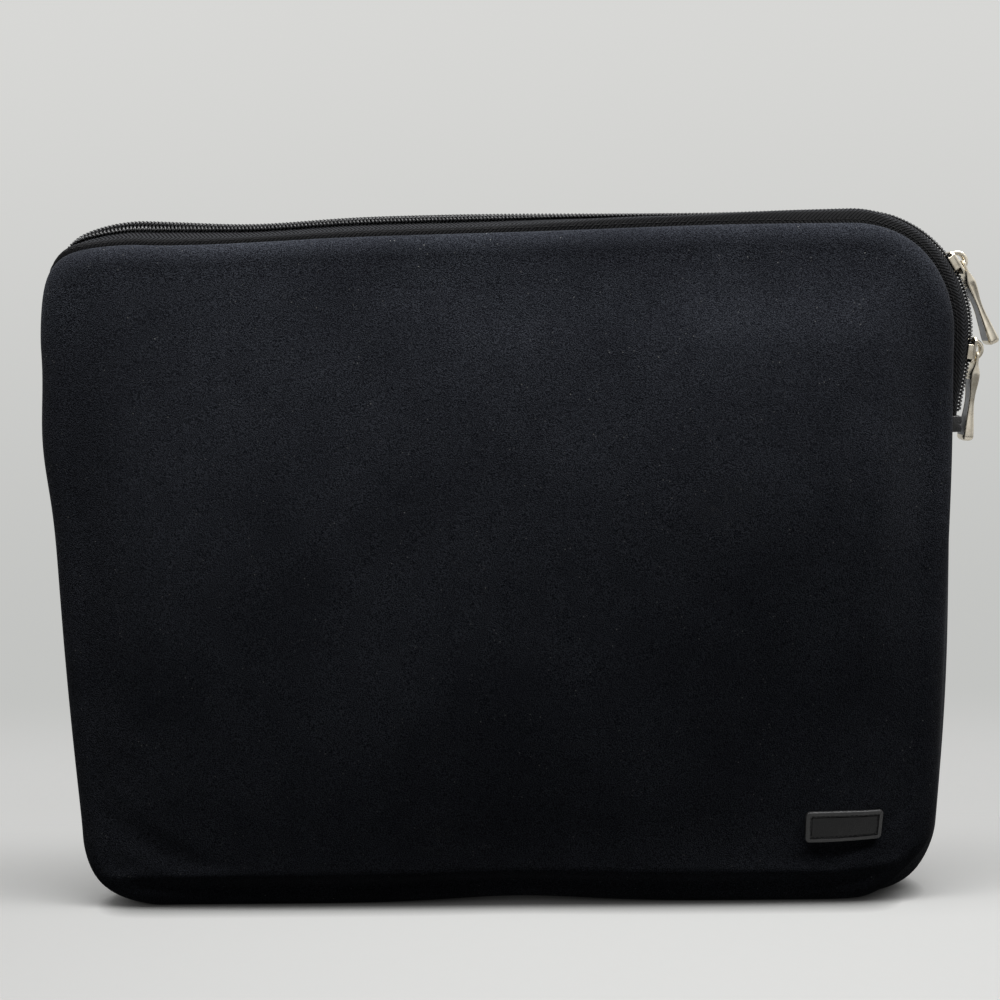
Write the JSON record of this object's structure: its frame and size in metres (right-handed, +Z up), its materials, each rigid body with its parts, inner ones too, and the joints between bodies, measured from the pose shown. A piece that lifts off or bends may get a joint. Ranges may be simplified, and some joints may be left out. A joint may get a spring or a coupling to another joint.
{
  "type": "laptop sleeve",
  "caption": "Padded neoprene laptop sleeve with rounded corners, a coil zip over the top and upper sides, a pair of metal sliders with pulls, and a folding mouth.",
  "frame": {"origin": "middle of the flat underside that the sleeve stands on", "axes": "+X to the right along the long side, +Y to the back, +Z up towards the zip; the front with the label faces -Y"},
  "size_m": [0.4048, 0.0325, 0.303],
  "materials": {
    "neoprene": "matt black jersey over foam",
    "zip_tape": "herringbone weave",
    "zip_coil": "satin nylon",
    "satin_nickel": "satin nickel",
    "end_tab": "glossy folded tab",
    "label": "satin leatherette",
    "binding": "ribbed ribbon"
  },
  "bodies": {
    "sleeve": {"front_panel": "neoprene", "back_panel": "neoprene", "edge_gusset": "neoprene", "front_tape_side": "zip_tape", "back_tape": "zip_tape", "front_coil_side": "zip_coil", "back_coil": "zip_coil", "left_end_tab": "end_tab", "right_end_tab": "end_tab", "label_patch": "label", "front_binding_pocket": "binding", "back_binding": "binding"},
    "flap": {"front_flap": "neoprene", "front_tape_mouth": "zip_tape", "front_coil_mouth": "zip_coil", "front_binding_mouth": "binding"},
    "upper_slider": {"upper_slider_body": "satin_nickel"},
    "upper_pull": {"upper_slider_pull": "satin_nickel"},
    "lower_slider": {"lower_slider_body": "satin_nickel"},
    "lower_pull": {"lower_slider_pull": "satin_nickel"}
  },
  "joints": [
    {"name": "flap_open", "type": "hinge", "parent": "sleeve", "child": "flap", "pos_m": [-0.19, -0.0161, 0.2107], "axis": [0.9679, 0, 0.2512], "range_deg": [0, 70], "stiffness_Nm_per_rad": 0.012},
    {"name": "upper_slider_travel", "type": "hinge", "parent": "sleeve", "child": "upper_slider", "pos_m": [0.145, 0, 0.25], "axis": [0, -1, 0], "range_deg": [0, 28]},
    {"name": "upper_pull_swing", "type": "hinge", "parent": "upper_slider", "child": "upper_pull", "pos_m": [0.19287, 0, 0.27971], "axis": [0, -1, 0], "range_deg": [0, 125]},
    {"name": "lower_slider_travel", "type": "slide", "parent": "sleeve", "child": "lower_slider", "axis": [-0.0958, 0, -0.9954], "range_m": [0, 0.02]},
    {"name": "lower_pull_swing", "type": "hinge", "parent": "lower_slider", "child": "lower_pull", "pos_m": [0.20084, 0, 0.24226], "axis": [0, -1, 0], "range_deg": [0, 100]}
  ]
}
